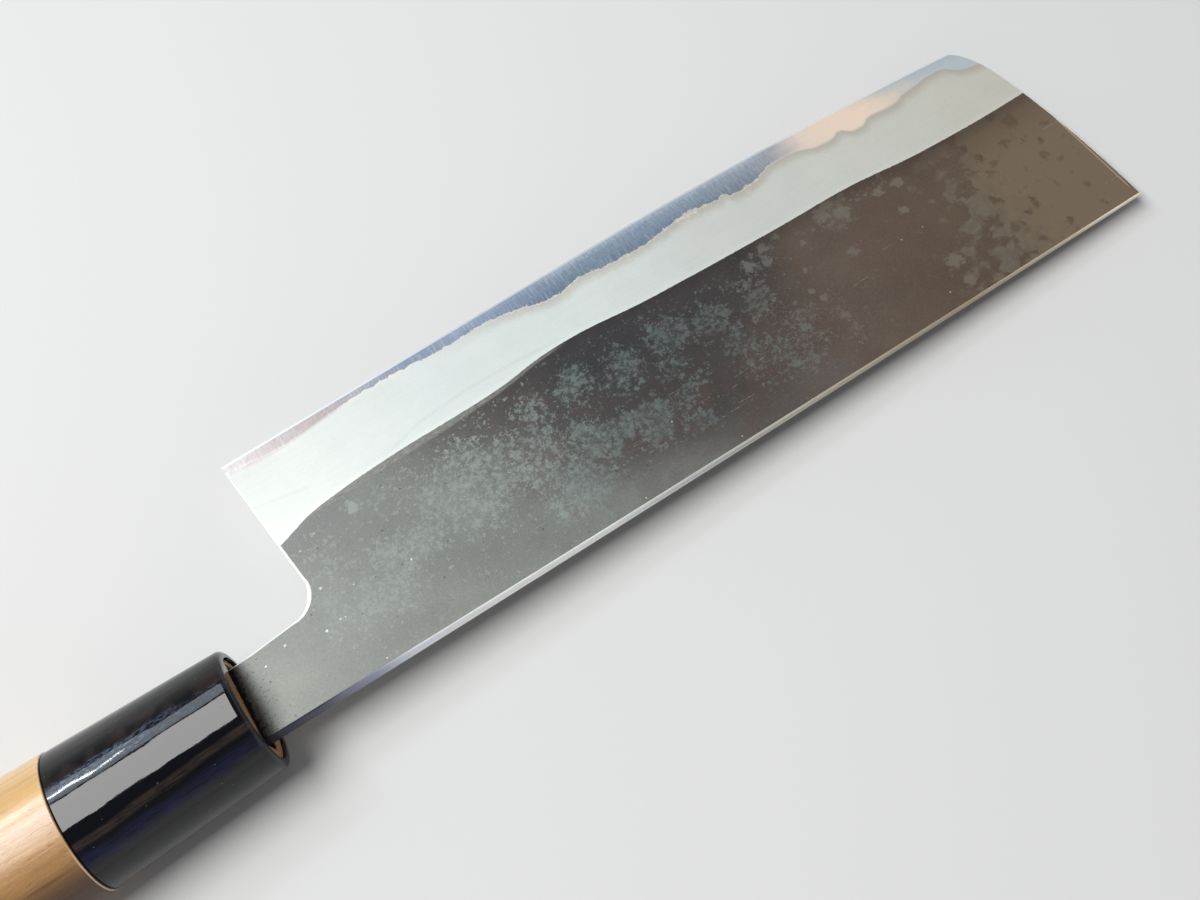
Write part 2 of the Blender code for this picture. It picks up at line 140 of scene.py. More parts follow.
class Sheet:
    """The nodes of one material or of the world."""

    def __init__(self, owner):
        owner.use_nodes = True
        self.tree = owner.node_tree
        self.tree.nodes.clear()

    def node(self, kind, settings=None, inputs=None, output=0):
        """Adds a node of this type, with its settings first and then its inputs, and returns one output."""
        made = self.tree.nodes.new(kind)
        for name, setting in (settings or {}).items():
            if name == "stops":
                self.set_stops(made.color_ramp.elements, setting)
            elif name == "points":
                self.set_points(made.mapping, setting)
            else:
                setattr(made, name, setting)
        for name, fed in (inputs or {}).items():
            self.feed(made.inputs[name], fed)
        return Value(self, made.outputs[output]) if made.outputs else None

    def feed(self, socket, fed):
        """Links a value to a socket, or writes a plain number or colour on it."""
        if isinstance(fed, Value):
            self.tree.links.new(fed.socket, socket)
        elif socket.type == "RGBA" and len(fed) == 3:
            socket.default_value = (*fed, 1)
        else:
            socket.default_value = fed

    @staticmethod
    def set_stops(elements, stops):
        while len(elements) < len(stops):
            elements.new(1)
        for element, (position, colour) in zip(elements, stops):
            element.position = position
            element.color = (*colour, 1)

    @staticmethod
    def set_points(mapping, points):
        mapping.extend = "HORIZONTAL"
        curve = mapping.curves[0]
        while len(curve.points) < len(points):
            curve.points.new(1, 1)
        for point, place in zip(curve.points, points):
            point.location = place
        mapping.update()

    def vector(self, x, y, z):
        return self.node("ShaderNodeCombineXYZ", None, {0: x, 1: y, 2: z})

    def vectors(self, operation, *terms, output=0):
        return self.node("ShaderNodeVectorMath", {"operation": operation}, dict(enumerate(terms)), output)

    def mix(self, share, first, second, blend="MIX"):
        """A colour between two colours, or their blend in another mode."""
        settings = {"data_type": "RGBA", "blend_type": blend}
        return self.node("ShaderNodeMix", settings, {0: share, 6: first, 7: second}, 2)

    def scaled(self, colour, level):
        """A colour made lighter or darker by a level around 1."""
        return self.mix(1.0, colour, self.vector(level, level, level), "MULTIPLY")

    def noise(self, place, scale, detail=2.0, rough=0.5, twist=0.0):
        """Noise around 0.5, with about this many lumps in each mm."""
        field = {"Vector": place, "Scale": scale, "Detail": detail}
        return self.node("ShaderNodeTexNoise", None, {**field, "Roughness": rough, "Distortion": twist})

    def drifted(self, place, scale, reach):
        """A place pushed about by noise of this scale, by up to half of this reach."""
        push = self.node("ShaderNodeTexNoise", None, {"Vector": place, "Scale": scale}, "Color")
        push = self.vectors("SUBTRACT", push, (0.5, 0.5, 0.5))
        return self.vectors("ADD", place, self.vectors("MULTIPLY", push, (reach, reach, reach)))

    def cells(self, place, scale):
        """The distance to the nearest of scattered points, in cells, and a number that differs by cell."""
        near = self.node("ShaderNodeTexVoronoi", None, {"Vector": place, "Scale": scale}, "Distance")
        made = near.socket.node
        chance = self.node("ShaderNodeSeparateColor", None, {0: Value(self, made.outputs["Color"])})
        return near, chance

    def curve(self, along, points):
        """A smooth curve through points, as a value at a place along it."""
        first, last = points[0][0], points[-1][0]
        top = max(height for _, height in points)
        scaled = [((x - first) / (last - first), height / top) for x, height in points]
        share = (along - first) / (last - first)
        return self.node("ShaderNodeFloatCurve", {"points": scaled}, {"Value": share}) * top

    def colours(self, along, stops):
        """A colour that runs through stops along the blade or the handle."""
        first, last = stops[0][0], stops[-1][0]
        scaled = [((x - first) / (last - first), colour) for x, colour in stops]
        return self.node("ShaderNodeValToRGB", {"stops": scaled}, {0: (along - first) / (last - first)})

    def knife_place(self):
        """A point's x, y and z in the knife's own frame, in mm."""
        place = self.node("ShaderNodeTexCoord", None, None, "Object")
        from_heel = self.vectors("SUBTRACT", place, HEEL)
        axes = [LYING.col[i] / mm for i in range(3)]
        return [self.vectors("DOT_PRODUCT", from_heel, axis, output="Value") for axis in axes]

    def handle_place(self):
        """A point's x, y and z in the handle's frame, in mm, with x below 0 behind the ferrule's rim."""
        x, y, z = self.knife_place()
        x, y = x - RIM[0], y - RIM[1]
        across, along = math.sin(HANDLE_TILT), math.cos(HANDLE_TILT)
        return x * along + y * across, y * along - x * across, z

    def facing(self):
        """How far a surface faces out of the blade's side: 1 on the flats, 0 on the spine."""
        normal = self.node("ShaderNodeNewGeometry", None, None, "True Normal")
        return abs(self.vectors("DOT_PRODUCT", normal, LYING.col[2], output="Value"))

    def surface(self, fixed, **varying):
        """The Principled shader and the material's output, from fixed inputs and from those that vary."""
        inputs = {name.replace("_", " ").title(): fed for name, fed in varying.items()}
        shader = self.node("ShaderNodeBsdfPrincipled", None, {**inputs, **fixed})
        self.node("ShaderNodeOutputMaterial", None, {"Surface": shader})

    def bump(self, height, strength=1.0):
        """A surface's normal from a height in mm."""
        return self.node("ShaderNodeBump", None, {"Strength": strength, "Distance": mm, "Height": height})


def from_edge(sheet, x, y):
    """The distance from the cutting edge, in mm."""
    beyond = (x - EDGE_STRAIGHT).most(0) / EDGE_RUN
    return HEEL_HEIGHT - beyond * beyond * EDGE_DROP - y


# The shaders' inputs that don't vary, for iron, plastic and wood
IRON_FIXED = {"IOR": 1.5}
PLASTIC_FIXED = {"Metallic": 0.0, "IOR": 1.46}
WOOD_FIXED = {"Metallic": 0.0, "IOR": 1.5, "Coat IOR": 1.62, "Coat Roughness": 0.21}

# The metallic share on the bevel, on scale and on the edges, and how much less it is on the core at the toe
BARE_METAL = 0.40
SCALE_METAL = 0.06
EDGE_METAL = 0.12
TOE_LOSS = 0.24

# Beside the ferrule, mm along the spine from where the tang is bare to where it is wholly charred or stained
CHARRED = (-19.1, -20.0)
STAINED = (-16.8, -19.6)

# How far a face turns from the spine's direction to the side's, from none to wholly
SIDE_FACING = (0.90, 0.97)

# The brushed strip beside the bevel: mm along the spine, and its width there
STRIP_WIDTHS = ((4, 0.3), (11, 1.3), (20, 1.7), (30, 1.5), (42, 1.0), (60, 0.6))


# Shares of the iron's colour: mm along the spine, and the share of red, green and blue
IRON_RUN = (
    (-6, (1.02, 1.02, 1.00)), (8, (1.10, 1.10, 1.08)), (20, (1.08, 1.10, 1.10)), (35, (1.08, 1.13, 1.13)),
    (50, (1.10, 1.15, 1.15)), (65, (1.18, 1.23, 1.23)), (80, (1.15, 1.19, 1.20)), (95, (1.12, 1.13, 1.11)),
    (125, (1.16, 1.15, 1.09)), (152, (1.14, 1.10, 1.00)), (162, (1.12, 1.08, 0.98)),
)

# The faint line left by the stone: mm along the spine, and mm from the edge
STONE_LINE = ((-6, 10.6), (8, 13.6), (20, 15.6), (30, 13.6), (45, 13.0), (62, 14.6))

# The core steel's colour: mm along the spine, and the colour there
CORE_RUN = (
    (-6, tone(208, 205, 202)),
    (2, tone(197, 188, 183)),
    (14, tone(184, 168, 163)),
    (22, tone(172, 168, 174)),
    (32, tone(150, 160, 178)),
    (50, tone(150, 168, 194)),
    (64, tone(141, 160, 182)),
    (80, tone(150, 170, 190)),
    (95, tone(154, 173, 190)),
    (108, tone(170, 180, 192)),
    (113, tone(188, 188, 194)),
    (116, tone(214, 206, 202)),
    (120, tone(240, 221, 205)),
    (126, tone(247, 225, 204)),
    (134, tone(249, 226, 204)),
    (140, tone(224, 215, 203)),
    (147, tone(196, 204, 208)),
    (162, tone(190, 202, 208)),
)


def blade_stops(colour, run):
    """Stops along the blade that are shares of one colour."""
    return [(x, tuple(channel * share for channel, share in zip(colour, shares))) for x, shares in run]


def ground_bevel(sheet, x, y, z, blade):
    """The ground bevel: satin iron, the jagged weld line, and the polished core steel along the edge.

    Returns its colour, roughness, height and metallic share.
    """
    off_edge = from_edge(sheet, x, y)
    run = sheet.vector(x, y, 0.0)
    crisp = x.between(22, 110, 7)
    coarse = sheet.noise(run, 0.40, 3, 0.6) - 0.5
    fine = sheet.noise(run, 1.7, 3, 0.62) - 0.5
    hooks = sheet.noise(run, 0.9, 2, 0.5, 1.5).rises(0.60, 0.66) * x.between(58, 106, 4)
    bumps = sheet.noise(run, 0.95, 2, 0.5) - 0.5
    jags = (coarse * 0.8 + bumps * 1.1 + fine * 1.2 - hooks * 0.35) * (crisp * 0.85 + 0.15)
    above = off_edge - sheet.curve(x, CORE_WIDTHS) - jags
    soft = 0.45 - crisp * 0.37
    iron_share = (above / soft * 0.5 + 0.5).most(0).least(1)

    # Iron: a fine even haze, lengthwise streaks, a brown shadow by the weld and a faint line from the stone
    iron = sheet.colours(x, blade_stops(blade.iron_colour, IRON_RUN))
    haze = sheet.noise(sheet.vector(x, y, z), 4.5, 4, 0.75) - 0.5
    streak = sheet.noise(sheet.vector(x * 0.05, y * 1.6, z), 1.0, 3, 0.6) - 0.5
    cloud = sheet.noise(run, 0.12, 3, 0.6) - 0.5
    stone = off_edge - sheet.curve(x, STONE_LINE)
    stone_line = stone.between(-0.05, 0.15, 0.5) * x.rises(64, 50) * (0.05 - x.between(9, 20, 4) * 0.04)
    shinogi_glow = (off_edge - sheet.curve(x, BEVEL_WIDTHS)).rises(-1.4, -0.1) * 0.06
    shadow = above.rises(2.8, 0.1) * above.rises(-0.1, 0.05) * x.rises(34, 60)
    level = 1 + haze * 0.30 + streak * 0.06 + cloud * 0.12 - stone_line + shinogi_glow
    iron = sheet.mix(shadow * 0.50, iron, tone(178, 164, 149))
    iron = sheet.scaled(iron, level)

    # Core: colours that drift along the edge, darker by the weld and paler by the edge, with scratches
    # square to it and a bright line at the very edge
    steel = sheet.colours(x + coarse * 9, CORE_RUN)
    deep = (off_edge + fine * 3).rises(2.2, 4.8) * x.between(52, 106, 8)
    steel = sheet.mix(deep * 0.35, steel, tone(92, 108, 136))
    outer = (off_edge + fine * 3).rises(2.0, 0.4) * x.between(44, 108, 8)
    steel = sheet.mix(outer * (x.rises(58, 68) * 0.42 + 0.28), steel, tone(204, 217, 228))
    cooler = (off_edge + fine * 2).rises(2.8, 0.2) * x.rises(128, 141)
    steel = sheet.mix(cooler * 0.55, steel, tone(178, 190, 196))
    scratch = sheet.noise(sheet.vector(x * 3.4, y * 0.30, 0.0), 1.0, 4, 0.8)
    mottled = sheet.noise(run, 1.3, 4, 0.7)
    bright = scratch.rises(0.50, 0.66) * 0.42 + mottled.rises(0.55, 0.75) * 0.20
    dark = scratch.rises(0.47, 0.32) * 0.25
    polish = x.rises(112, 120)
    steel = sheet.mix(bright * (1 - polish * 0.8), steel, tone(222, 230, 242))
    steel = sheet.mix(dark * (1 - polish * 0.8), steel, tone(88, 100, 130))
    near_heel = x.rises(5, -1) * mottled.rises(0.50, 0.58)
    steel = sheet.mix(near_heel * 0.6, steel, tone(206, 168, 164))
    edge_line = off_edge.rises(0.50, 0.22)
    steel = sheet.mix(edge_line * 0.9, steel, tone(232, 240, 244))
    colour = sheet.mix(iron_share, steel, iron)

    # The weld itself: a thin pale thread, with beads along it and one ragged clump
    clump = x.between(90.8, 94.4, 0.8) * fine.rises(-0.12, 0.10) * 0.60
    beads = fine.rises(0.02, 0.16) * 0.07
    thread = (abs(above) - beads - clump).rises(0.19, 0.05) * (crisp * 0.85 + x.between(14, 118, 6) * 0.15)
    colour = sheet.mix(thread * 0.85, colour, blade.weld_colour)

    roughness = iron_share * 0.16 + 0.30 + haze * 0.08 + bright * 0.1
    height = haze * iron_share * 0.008 + scratch * (1 - iron_share) * 0.004 - streak * 0.004
    return colour, roughness, height, BARE_METAL - polish * (1 - iron_share) * TOE_LOSS


# The ground edges' colour: mm along the spine, and the colour there; the dark navy by the tang is a painted
# reflection, and the white from the heel on partly a painted highlight
EDGE_TONES_AND_REFLECTIONS = (
    (-24, tone(40, 43, 62)),
    (-9, tone(48, 52, 76)),
    (1, tone(156, 161, 186)),
    (8, tone(238, 243, 251)),
    (20, tone(255, 255, 255)),
    (45, tone(252, 255, 252)),
    (65, tone(214, 217, 214)),
    (90, tone(202, 194, 173)),
    (120, tone(178, 160, 130)),
    (146, tone(213, 197, 167)),
    (154, tone(250, 238, 216)),
    (162, tone(255, 244, 224)),
)


def ground_edge(sheet, x, y, z, core):
    """The spine and the eased edges: ground bright steel with painted reflection and highlight, and the core
    as a darker line along the spine.
    """
    streak = sheet.noise(sheet.vector(x * 0.25, y * 3.0, z * 6.0), 1.0, 3, 0.6)
    # Along the spine, painted reflection and partly painted highlight; edges away from it near white, partly
    # a painted highlight
    colour = sheet.mix(y.rises(1.5, 4.0), sheet.colours(x, EDGE_TONES_AND_REFLECTIONS), tone(250, 252, 252))
    colour = sheet.scaled(colour, streak * 0.30 + 0.86)
    if core:
        colour = sheet.mix(x.rises(35, 80) * 0.40, colour, tone(120, 124, 132))
    return colour, streak * 0.16 + 0.24


# The scale's colour: mm along the spine, and the colour there; its light grey towards the handle is partly
# painted sheen
SCALE_AND_SHEEN_RUN = (
    (-24, tone(128, 132, 124)),
    (-10, tone(123, 127, 121)),
    (0, tone(124, 128, 123)),
    (10, tone(119, 122, 118)),
    (20, tone(116, 120, 116)),
    (30, tone(116, 120, 115)),
    (38, tone(108, 110, 106)),
    (46, tone(90, 89, 86)),
    (56, tone(70, 67, 65)),
    (70, tone(64, 60, 57)),
    (80, tone(68, 62, 58)),
    (92, tone(84, 74, 66)),
    (108, tone(96, 83, 72)),
    (126, tone(94, 79, 67)),
    (162, tone(96, 81, 68)),
)

# The bloom's colour: mm along the spine, and the colour there; lighter towards the handle, partly painted
# sheen
BLOOM_RUN = (
    (-24, tone(152, 159, 149)),
    (0, tone(148, 155, 146)),
    (20, tone(144, 152, 146)),
    (40, tone(140, 151, 146)),
    (52, tone(113, 127, 123)),
    (66, tone(95, 108, 106)),
    (84, tone(92, 103, 101)),
    (98, tone(106, 103, 97)),
    (118, tone(114, 106, 95)),
    (162, tone(126, 112, 95)),
)

# Where the bloom crowds: mm along the spine, mm from the spine, half width, half height and how densely
CROWDS = (
    (-15, 5, 8, 7, 0.6), (-1, 14, 4, 8, 0.9), (9, 11, 9, 7, 0.9), (16, 16, 9, 7, 1.1),
    (31, 20, 15, 11, 1.05), (3, 22, 6, 6, 0.6), (19, 28, 8, 4, 0.6), (47, 9, 9, 8, 1.1),
    (43, 18, 9, 8, 1.0), (47, 26, 5, 7, 0.9), (56, 27, 5, 6, 1.1), (53, 16, 6, 5, 1.1),
    (65, 12, 6, 5, 1.15), (59, 14, 6, 4, 1.25), (71.5, 7, 4, 4, 0.9), (65, 24, 5, 6, 1.0),
    (72, 14, 5, 4, 0.9), (76.5, 25, 5, 6, 1.0), (73, 20, 5, 3, 0.9), (83, 24, 5, 6, 0.9),
    (86, 14, 4, 8, 0.9), (93, 23, 5, 7, 0.9), (93, 9, 8, 7, 0.85), (97, 14, 4, 4, 0.9),
    (104, 9, 2, 5, 0.9), (98, 29, 6, 3, 0.7), (111, 13.5, 4, 1.5, 0.9), (115, 29, 7, 3.5, 1.1),
    (123, 28.5, 6, 2.5, 0.8),
)

# Single spots on the scale: mm along the spine, mm from the spine, and radius
DARK_SPOTS = (
    (153.5, 16.7, 0.9), (155.4, 14.2, 0.6), (155.6, 7.0, 0.7), (144.9, 20.4, 0.8), (149.4, 23.0, 1.0),
    (143.6, 22.8, 0.9), (142.8, 26.2, 0.8), (153.2, 26.2, 1.5), (141.2, 12.9, 0.5), (151.0, 29.0, 0.9),
    (139.2, 7.2, 1.0),
)
PALE_SPOTS = (
    (11.2, 28.5, 1.3), (112.8, 20.2, 1.0), (125.6, 22.1, 0.9), (102.9, 15.4, 0.8), (101.8, 17.6, 0.6),
    (98.9, 27.3, 1.0), (95.6, 28.6, 1.2), (99.8, 30.3, 1.1), (128.2, 27.6, 1.1), (126.0, 3.0, 1.2),
    (112.6, 30.0, 1.5), (116.2, 28.2, 1.4), (114.4, 31.2, 1.3), (103.2, 31.0, 0.7), (106.4, 27.0, 0.6),
    (124.0, 27.8, 0.9), (103.3, 22.0, 0.5), (91.2, 7.2, 0.8), (96.6, 12.2, 0.9), (126.4, 8.0, 1.6),
)

# Nicks where the iron shines through: mm along the spine, mm from the spine, and radius in quarters of a mm
QUARTERS = 4
NICKS = tuple(
    (QUARTERS * nick_x, QUARTERS * nick_y, radius)
    for nick_x, nick_y, radius in (
        (-14.6, 11.2, 0.7), (-10.2, 12.6, 0.9), (-2.9, 10.8, 1.0), (0.1, 11.4, 0.8), (1.0, 11.3, 0.6),
        (-0.4, 18.3, 0.9), (-0.4, 26.4, 0.7), (3.1, 28.0, 0.6), (15.4, 13.9, 0.9), (3.7, 0.9, 0.7),
        (55.1, 0.6, 0.6), (75.2, 0.9, 0.6), (66.6, 10.2, 0.6), (4.8, 15.6, 0.5), (121.6, 3.2, 0.6),
        (121.3, 17.0, 0.5), (126.0, 17.0, 0.5),
    )
)

# The pale line inside the front edge: mm along the spine where it starts, and how it leans back
FRONT_LINE = 161.2
FRONT_LEAN = 0.035

# Scratches along the blade: where each starts and ends, its mm from the spine, and its slope
SCRATCHES = (
    (73.6, 77.8, 5.6, 0.02), (78.2, 81.2, 6.4, -0.05), (83.6, 87.4, 6.9, 0.03),
    (58.4, 62.6, 9.8, 0.01), (66.8, 71.4, 11.9, 0.03), (74.0, 76.2, 10.2, 0.02),
    (80.8, 86.6, 11.0, 0.05), (78.8, 81.0, 9.4, 0.10), (69.2, 72.8, 14.7, -0.02),
    (60.0, 65.0, 7.2, 0.01), (108.4, 112.6, 13.9, 0.05), (157.4, 160.4, 21.0, -0.03),
    (158.6, 160.8, 5.0, -0.02), (117.6, 119.4, 17.1, 0.0),
)


def forge_scale(sheet, x, y, z, blade):
    """Black forge scale: drifting colour, partly painted sheen by the handle, pale bloom in patches, specks,
    nicks and fine scratches.

    Returns its colour, roughness, height and the nicks, where bare metal shows.
    """
    run = sheet.vector(x, y, z)

    # The dark middle begins sooner near the bevel than near the spine
    rise = (15 - y).most(0)
    slant = ((y - 15).most(0) * 0.9 - rise * rise * 0.15) * x.rises(100, 60)
    # Towards the handle these colours are partly painted sheen
    base = sheet.colours(x + slant, SCALE_AND_SHEEN_RUN)
    by_spine = y.rises(9, 1) * x.between(62, 96, 8)
    base = sheet.mix(by_spine * 0.36, base, tone(112, 106, 101))
    rust = sheet.noise(run, 0.15, 3, 0.55).rises(0.48, 0.62) * x.between(40, 92, 14)
    base = sheet.mix(rust * 0.28, base, tone(92, 74, 69))
    drift = sheet.noise(run, 0.08, 3, 0.6) - 0.5
    low = y.rises(13, 29) * x.between(60, 94, 12)
    flecks = sheet.noise(run, 2.9, 3, 0.8) - 0.5
    by_neck = y.rises(8, 2) * x.rises(34, 10)
    level = 1 + drift * 0.5 - low * 0.36 - by_neck * 0.12 + flecks * 0.85
    base = sheet.mix(low * 0.35, base, tone(58, 66, 78))
    base = sheet.scaled(base, level)

    # Towards the tip the scale turns lighter, in broad soft patches at first and then all over
    broad_field = sheet.noise(sheet.drifted(run, 0.30, 2.0), 0.30, 4, 0.55)
    light = (broad_field + (x - y.most(10) * 0.32 + 3.2).rises(117, 149) * 0.30).rises(0.60, 0.71)
    thin = sheet.noise(run, 0.55, 4, 0.65).rises(0.62, 0.38) * x.rises(152, 132) * 0.45
    light = light * x.rises(121, 127) * (1 - y.rises(18, 30) * 0.65) * (1 - thin)
    light_colour = sheet.mix(x.rises(134, 146), tone(114, 105, 93), tone(123, 107, 88))
    base = sheet.mix(light * 0.9, base, light_colour)

    # Bloom: round spots and ragged patches that crowd together here and there, crumbs between them,
    # and a soft veil where they are densest
    crowd = crowding(sheet, sheet.drifted(run, 0.16, 9.0)) * blade.bloom
    often = x.between(2, 100, 12)
    ragged = sheet.noise(run, 2.4, 4, 0.7) - 0.5
    lumpy = sheet.drifted(run, 1.3, 1.7)
    bloom = 0.0
    for size, share in ((0.72, 0.60), (1.3, 0.59), (2.4, 0.62)):
        near, chance = sheet.cells(lumpy, size)
        radius = chance * 0.80 + crowd * 0.32 + often * 0.10 - share
        bloom = (radius - near + ragged * 0.70).rises(-0.05, 0.11).most(bloom)
    field = sheet.noise(run, 0.80, 6, 0.62, 0.15) + crowd * 0.11 + often * 0.04
    bloom = bloom.most((field + ragged * 0.06).rises(0.645, 0.725) * 0.85)
    # The bloom's lighter colours by the handle are partly painted sheen
    bloom_colour = sheet.colours(x, BLOOM_RUN)
    uneven = sheet.noise(run, 1.3, 3, 0.65).rises(0.3, 0.7) * 0.50 + 0.42
    veil = (crowd * 0.7 + field - 0.5).rises(0.55, 1.05) * 0.22
    colour = sheet.mix((bloom * uneven).most(veil), base, bloom_colour)
    colour = sheet.mix(spots(sheet, x, y, PALE_SPOTS) * 0.85, colour, bloom_colour)
    colour = sheet.mix(spots(sheet, x, y, DARK_SPOTS) * 0.32, colour, tone(62, 48, 38))

    near, chance = sheet.cells(run, 0.8)
    specks = near.rises(0.20, 0.12) * chance.rises(0.86, 0.88) * x.between(-19, 60, 6)
    soot_near, soot_chance = sheet.cells(run, 2.2)
    by_mouth = x.rises(-13.0, -18.5)
    soot = soot_near.rises(0.42, 0.25) * (soot_chance + by_mouth * 0.5).rises(0.98, 1.02)
    colour = sheet.mix((specks * 0.6).most(soot * 0.8), colour, tone(38, 36, 34))

    # Fine scratches along the blade, and a pale line inside the front edge
    weave = sheet.noise(sheet.vector(x * 0.12 + y * 0.012, y * 5.0, z), 1.0, 4, 0.75)
    where = sheet.noise(run, 0.09, 2).rises(0.46, 0.58) * x.between(36, 100, 16)
    scratches = (weave.rises(0.62, 0.70) * where * 0.30).most(strokes(sheet, x, y, SCRATCHES) * 0.34)
    colour = sheet.mix(scratches, colour, tone(176, 172, 160))
    front = abs(x + y * FRONT_LEAN - FRONT_LINE).rises(0.16, 0.05) * y.between(3, 21, 1.5)
    colour = sheet.mix(front * 0.55, colour, tone(206, 184, 150))

    nicks = spots(sheet, x * QUARTERS, y * QUARTERS, NICKS) * 0.55
    colour = sheet.mix(nicks, colour, tone(226, 228, 222))

    grit = sheet.noise(run, 7.0, 3, 0.7) - 0.5
    roughness = 0.37 + bloom * 0.10 + grit * 0.12 - nicks * 0.1
    pits = sheet.noise(run, 1.1, 4, 0.6) - 0.5
    height = grit * 0.006 + pits * 0.010 + bloom * 0.004 - specks * 0.02 - scratches * 0.01
    return colour, roughness, height, nicks


def crowding(sheet, place):
    """How densely the bloom crowds at a place."""
    dense = 0.0
    for centre_x, centre_y, half_width, half_height, density in CROWDS:
        offset = sheet.vectors("SUBTRACT", place, (centre_x, centre_y, 0.0))
        offset = sheet.vectors("MULTIPLY", offset, (1 / half_width, 1 / half_height, 0.0))
        away = sheet.vectors("LENGTH", offset, output="Value")
        dense = (away.rises(1.2, 0.35) * density).most(dense)
    return dense


def spots(sheet, x, y, places):
    """A mask of round spots with ragged edges."""
    here = sheet.vector(x, y, 0.0)
    ragged = sheet.noise(here, 0.95, 4, 0.65) - 0.5
    mask = 0.0
    for spot_x, spot_y, radius in places:
        away = sheet.vectors("DISTANCE", here, (spot_x, spot_y, 0.0), output="Value")
        mask = (away / radius + ragged * 3.4).rises(1.2, 0.7).most(mask)
    return mask


def strokes(sheet, x, y, lines):
    """A mask of hairline scratches, broken here and there."""
    broken = sheet.noise(sheet.vector(x * 0.6, y * 1.2, 0.0), 1.0, 3, 0.7)
    mask = 0.0
    for start, end, height, slope in lines:
        off_line = abs(y - height - (x - start) * slope - broken * 0.3)
        mask = (off_line.rises(0.12, 0.03) * x.between(start, end, 0.6)).most(mask)
    return mask * broken.rises(0.44, 0.60)


def blade_material(name, blade, core):
    """The finish of a blade layer: scale on the flats, a ground bevel below it, and bright edges."""
    material = bpy.data.materials.new(name)
    sheet = Sheet(material)
    x, y, z = sheet.knife_place()
    off_edge = from_edge(sheet, x, y)
    bevel_colour, bevel_roughness, bevel_height, bevel_metal = ground_bevel(sheet, x, y, z, blade)
    edge_colour, edge_roughness = ground_edge(sheet, x, y, z, core)
    scale_colour, scale_roughness, scale_height, nicks = forge_scale(sheet, x, y, z, blade)

    # Where the flat meets the bevel: a ragged border, and a strip beside it that the stone has brushed
    shinogi = off_edge - sheet.curve(x, BEVEL_WIDTHS)
    waver = (sheet.noise(sheet.vector(x, y, 0.0), 1.4, 4, 0.7) - 0.5) * 0.30
    on_scale = (shinogi + waver).rises(-0.05, 0.05)
    strip_width = sheet.curve(x, STRIP_WIDTHS)
    strip_grain = sheet.noise(sheet.vector(x * 0.5, y * 3.4, z), 1.6, 4, 0.75)
    strip = (shinogi / strip_width + strip_grain * 1.2 - 0.6).rises(1.05, 0.80) * x.between(6, 56, 4)
    strip_colour = sheet.mix(strip_grain.rises(0.32, 0.68), tone(92, 92, 87), tone(160, 160, 152))
    scale_colour = sheet.mix(strip * 0.75, scale_colour, strip_colour)
    darker = shinogi.rises(3.6, 0.1) * x.rises(40, 60) * 0.34
    scale_colour = sheet.mix(darker, scale_colour, tone(40, 38, 39))

    # Beside the ferrule the tang is blackened, and a brown stain fades out from there
    burn = sheet.noise(sheet.vector(x, y, z), 1.3, 5, 0.72)
    char = (x + burn * 2.6 - 1.3).rises(*CHARRED)
    stain = (x + burn * 4.4 - 2.2).rises(*STAINED)
    scale_colour = sheet.mix(stain * 0.50, scale_colour, tone(66, 56, 46))
    scale_colour = sheet.mix(char, scale_colour, tone(14, 12, 10))

    on_side = sheet.facing().rises(*SIDE_FACING)
    side_colour = sheet.mix(on_scale, bevel_colour, scale_colour)
    scale_roughness = scale_roughness + char * 0.4 + stain * 0.1
    side_roughness = bevel_roughness + (scale_roughness - bevel_roughness) * on_scale
    colour = sheet.mix(on_side, edge_colour, side_colour)
    roughness = edge_roughness + (side_roughness - edge_roughness) * on_side
    height = (bevel_height + (scale_height - bevel_height) * on_scale) * on_side
    side_metal = bevel_metal + on_scale * (1 - nicks) * (SCALE_METAL - bevel_metal)
    metallic = EDGE_METAL + (side_metal - EDGE_METAL) * on_side
    normal = sheet.bump(height)
    sheet.surface(IRON_FIXED, base_color=colour, roughness=roughness, metallic=metallic, normal=normal)
    return material


class BladeFinish(bpy.types.PropertyGroup):
    iron_colour: FloatVectorProperty(
        name="Iron", description="Colour of the ground iron of the bevel", subtype="COLOR", size=3,
        default=tone(210, 212, 208),
    )
    weld_colour: FloatVectorProperty(
        name="Weld", description="Colour of the thread where iron and core steel meet", subtype="COLOR",
        size=3, default=tone(240, 230, 214),
    )
    bloom: FloatProperty(
        name="Bloom", description="How much the pale patches crowd together on the scale", default=1.0,
        min=0.0, max=2.0, subtype="FACTOR",
    )


class HandleFinish(bpy.types.PropertyGroup):
    wood_colour: FloatVectorProperty(
        name="Wood", description="Colour of the wood between its darker grain", subtype="COLOR", size=3,
        default=tone(206, 156, 92),
    )
    plastic_colour: FloatVectorProperty(
        name="Plastic", description="Colour of the ferrule", subtype="COLOR", size=3,
        default=tone(10, 11, 16),
    )


class StageSettings(bpy.types.PropertyGroup):
    floor_colour: FloatVectorProperty(
        name="Floor", description="Colour of the floor", subtype="COLOR", size=3,
        default=(0.74, 0.74, 0.73),
    )
    key_light: FloatProperty(
        name="Key light", description="Brightness of the large soft light, where 1 is white",
        default=9.0, min=0.0,
    )


# Points closer than this are one, and faces that meet at more than this angle keep their corner
SAME_POINT = 0.001 * mm
CRISP_CORNER = math.radians(30)


def dress(node, material):
    """Gives a node of the frame its finish."""
    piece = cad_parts[node]
    piece.data.materials.clear()
    piece.data.materials.append(material)
    return piece


def shade_round(piece):
    """Lets an oval piece shade as one curved surface, with its rims and corners still crisp."""
    piece.modifiers.new("joined", "WELD").merge_threshold = SAME_POINT
    corners = piece.modifiers.new("corners", "EDGE_SPLIT")
    corners.split_angle = CRISP_CORNER
    corners.use_edge_sharp = False
    piece.modifiers.new("rounded", "WEIGHTED_NORMAL").mode = "FACE_AREA"


class KNIFE_OT_core_steel(bpy.types.Operator):
    """Finish the core steel: the polished edge strip and the dark line in the spine"""

    bl_idname = "knife.core_steel"
    bl_label = "Core steel"

    def execute(self, context):
        dress("core_steel", blade_material("polished_core", context.scene.blade_finish, True))
        return {"FINISHED"}


